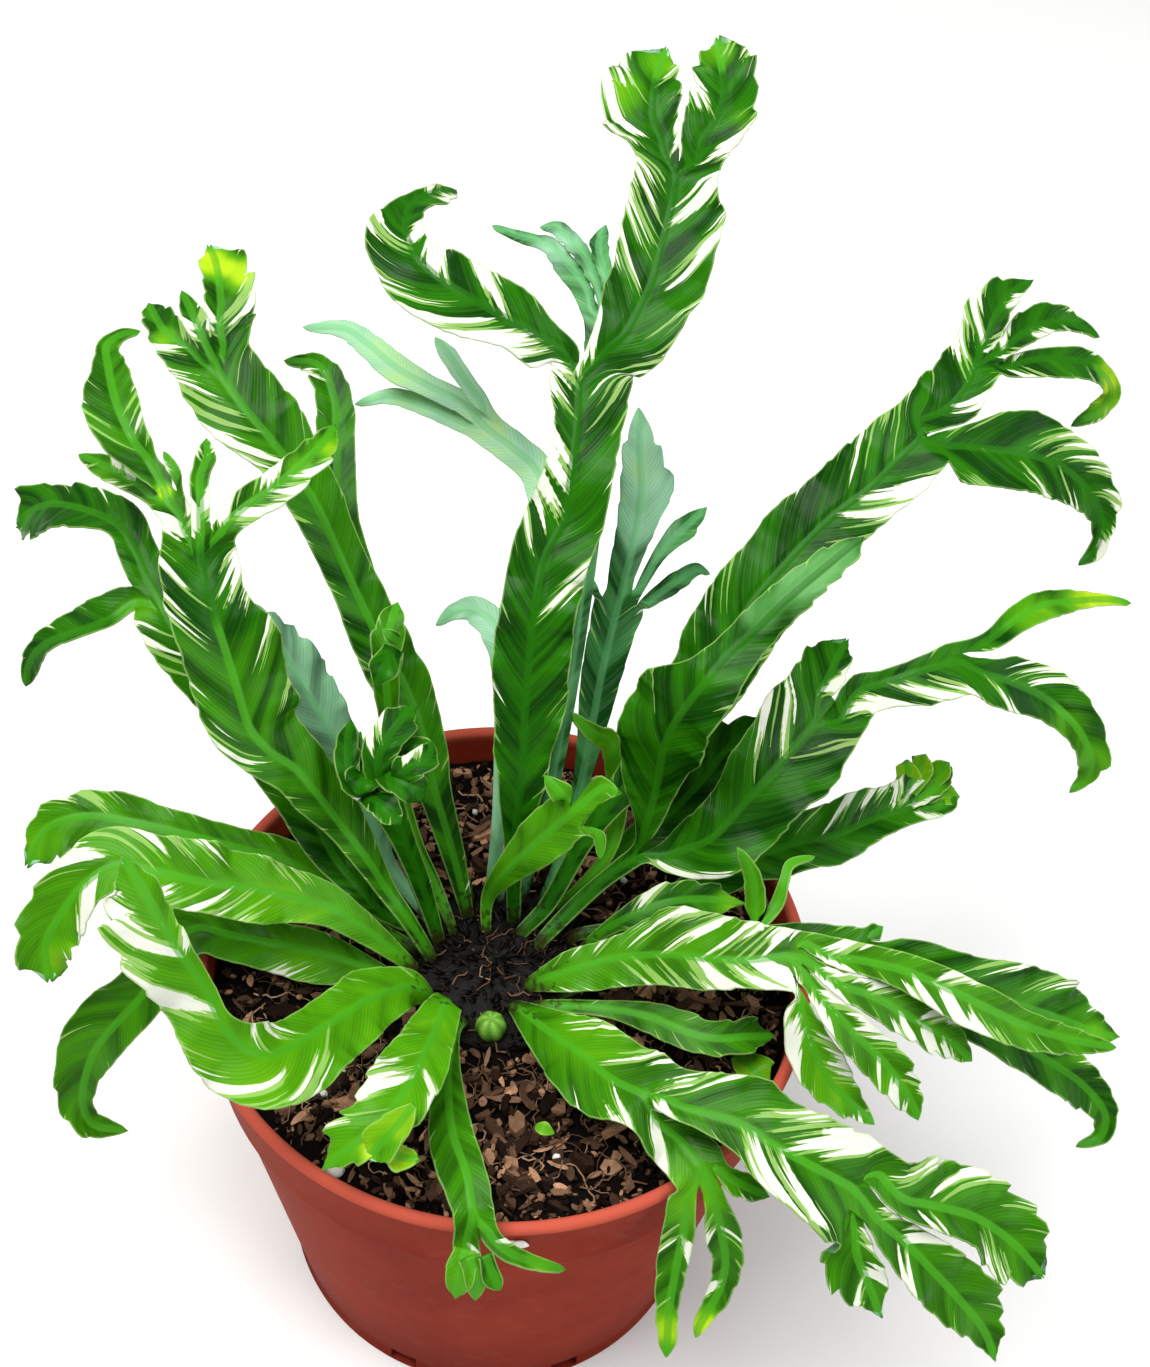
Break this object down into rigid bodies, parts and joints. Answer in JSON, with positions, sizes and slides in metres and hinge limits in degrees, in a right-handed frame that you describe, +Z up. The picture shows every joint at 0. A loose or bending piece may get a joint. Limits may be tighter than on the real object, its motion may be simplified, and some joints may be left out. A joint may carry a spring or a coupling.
{
  "type": "potted variegated birds nest fern",
  "caption": "Birds nest fern with strap-shaped, fork-tipped, white-striped fronds spreading from a dark crown in a round terracotta-red nursery pot filled with soil.",
  "frame": {"origin": "middle of the flat pad under the pot, on the surface that the pot stands on", "axes": "+Z up along the pot's axis; -Y is the front, which the picture looks at; +X is to the right in the picture"},
  "size_m": [0.344, 0.2925, 0.3383],
  "materials": {
    "pot_plastic": "moulded terracotta-red plastic, satin",
    "potting_soil": "rough bark and leaf-mould potting mix",
    "crown_scales": "matt black fibrous scales",
    "bud_green": "waxy young green",
    "frond_green": "glossy leaf with white stripes along its veins",
    "frond_pale": "satin pale leaf underside"
  },
  "bodies": {
    "root": {"pot": "pot_plastic", "soil": "potting_soil", "crown": "crown_scales", "bud": "bud_green", "frond_centre_tall": "frond_green", "frond_pale_right": "frond_pale", "frond_back_small": "frond_pale", "frond_pale_back_left": "frond_pale", "frond_pale_tip": "frond_pale", "frond_tall_left": "frond_green", "frond_narrow_left": "frond_green", "frond_big_left": "frond_green", "frond_two_armed": "frond_green", "frond_pale_left": "frond_pale", "frond_young_crest": "frond_green", "frond_young_narrow": "frond_green", "frond_young_centre": "frond_green", "frond_upper_right": "frond_green", "frond_right_forked": "frond_green", "frond_curly_right": "frond_green", "frond_striped_right": "frond_green", "frond_two_tips": "frond_green", "frond_front_striped": "frond_green", "frond_far_right": "frond_green", "frond_front_right_big": "frond_green", "frond_under_right": "frond_green", "frond_front_short": "frond_green", "frond_front_narrow": "frond_green", "frond_front_left_curl": "frond_green", "frond_long_left_back": "frond_green", "frond_long_left_front": "frond_green", "frond_low_left": "frond_green", "frond_dark_right": "frond_green", "frond_leaf_tip": "frond_green"}
  },
  "joints": []
}
